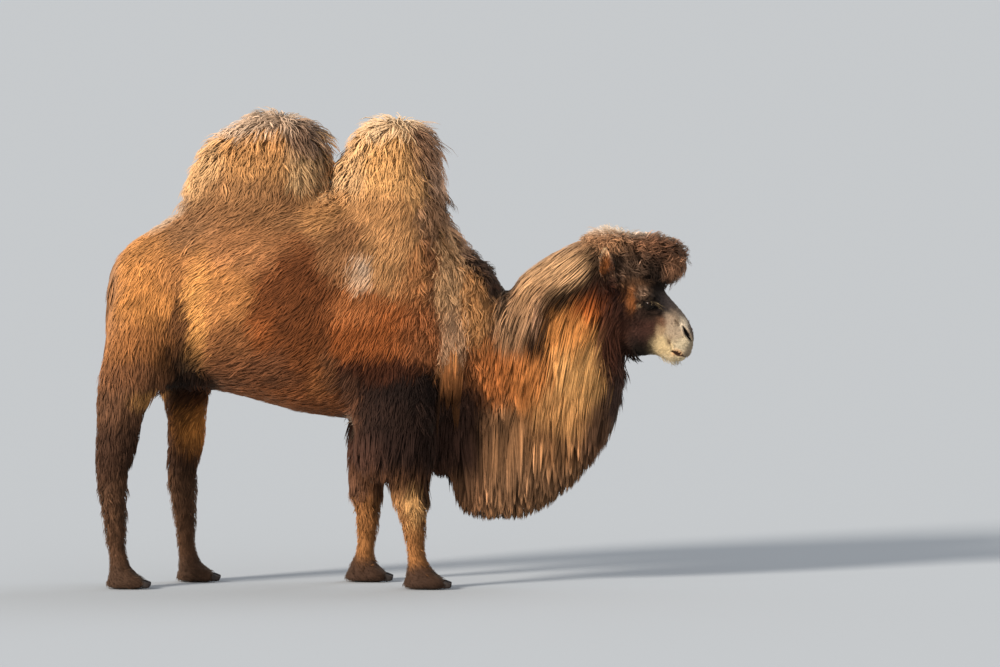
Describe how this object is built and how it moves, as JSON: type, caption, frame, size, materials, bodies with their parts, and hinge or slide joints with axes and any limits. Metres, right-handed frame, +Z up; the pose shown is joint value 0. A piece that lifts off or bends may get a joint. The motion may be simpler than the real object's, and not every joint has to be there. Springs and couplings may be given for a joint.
{
  "type": "bactrian camel",
  "caption": "Two-humped camel standing in its thick winter coat, with a long throat beard, a mane and a topknot: a still, life-size museum model.",
  "frame": {"origin": "on the floor, under the middle of the camel's length and width", "axes": "+X towards the camel's nose, +Y towards its left side, +Z up"},
  "size_m": [2.7049, 0.7996, 2.1493],
  "materials": {
    "golden_wool": "thick golden brown winter wool",
    "pale_wool": "pale beige wool of the humps and the mane",
    "beard_wool": "long orange brown hair",
    "dark_wool": "long dark chocolate hair",
    "short_coat": "short dense coat of the face and the lower legs",
    "horn": "dark horn of the nails, slightly glossy",
    "eye_gloss": "wet dark eye"
  },
  "bodies": {
    "root": {"neck": "golden_wool", "trunk": "golden_wool", "hump_rear": "pale_wool", "hump_front": "pale_wool", "mane": "pale_wool", "beard": "beard_wool", "topknot": "beard_wool", "breast_tuft": "dark_wool", "tail": "dark_wool", "head": "short_coat", "lower_jaw": "short_coat", "ear_left": "short_coat", "ear_right": "short_coat", "eye_left": "eye_gloss", "eye_right": "eye_gloss", "fore_right_upper_leg": "dark_wool", "fore_right_lower_leg": "short_coat", "fore_right_foot": "short_coat", "fore_right_left_nail": "horn", "fore_right_right_nail": "horn", "fore_left_upper_leg": "dark_wool", "fore_left_lower_leg": "short_coat", "fore_left_foot": "short_coat", "fore_left_left_nail": "horn", "fore_left_right_nail": "horn", "hind_right_upper_leg": "dark_wool", "hind_right_lower_leg": "short_coat", "hind_right_foot": "short_coat", "hind_right_left_nail": "horn", "hind_right_right_nail": "horn", "hind_left_upper_leg": "dark_wool", "hind_left_lower_leg": "short_coat", "hind_left_foot": "short_coat", "hind_left_left_nail": "horn", "hind_left_right_nail": "horn"}
  },
  "joints": []
}
